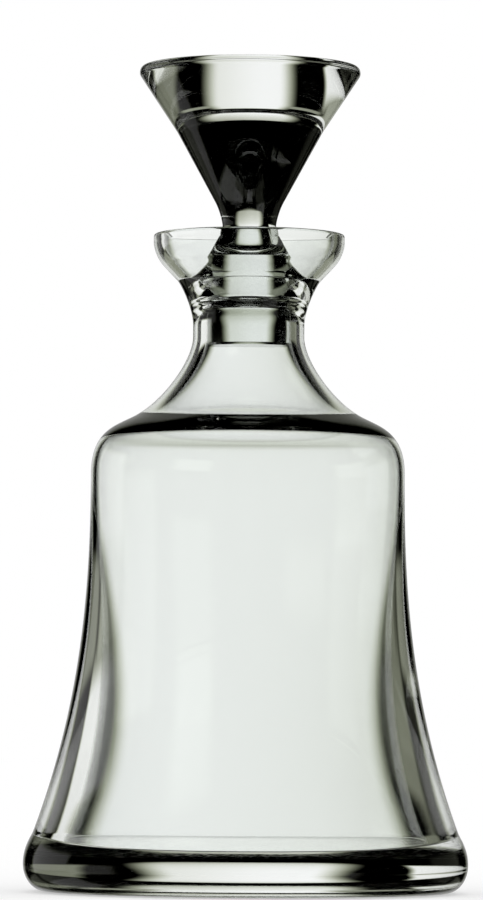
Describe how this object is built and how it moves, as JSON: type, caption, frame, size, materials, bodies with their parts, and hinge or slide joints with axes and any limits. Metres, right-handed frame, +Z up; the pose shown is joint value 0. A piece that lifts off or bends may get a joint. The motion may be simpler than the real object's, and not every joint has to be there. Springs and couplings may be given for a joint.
{
  "type": "decanter",
  "caption": "Clear glass decanter with a bell-shaped body on a thick round foot, a waisted neck with a flared lip, and a solid cone-headed stopper that lifts out.",
  "frame": {"origin": "middle of the foot, on the surface that the decanter stands on", "axes": "+Z up along the axis that both pieces are turned about; +X and +Y are alike, because the part is round"},
  "size_m": [0.1354, 0.1354, 0.252],
  "materials": {
    "bottle_glass": "clear polished blown glass with a faint grey-green tint",
    "stopper_glass": "clear polished solid glass with a faint grey-green tint"
  },
  "bodies": {
    "bottle": {"bottle": "bottle_glass"},
    "stopper": {"stopper": "stopper_glass"}
  },
  "joints": [
    {"name": "stopper_lift", "type": "slide", "parent": "bottle", "child": "stopper", "axis": [0, 0, 1], "range_m": [0, 0.045]}
  ]
}
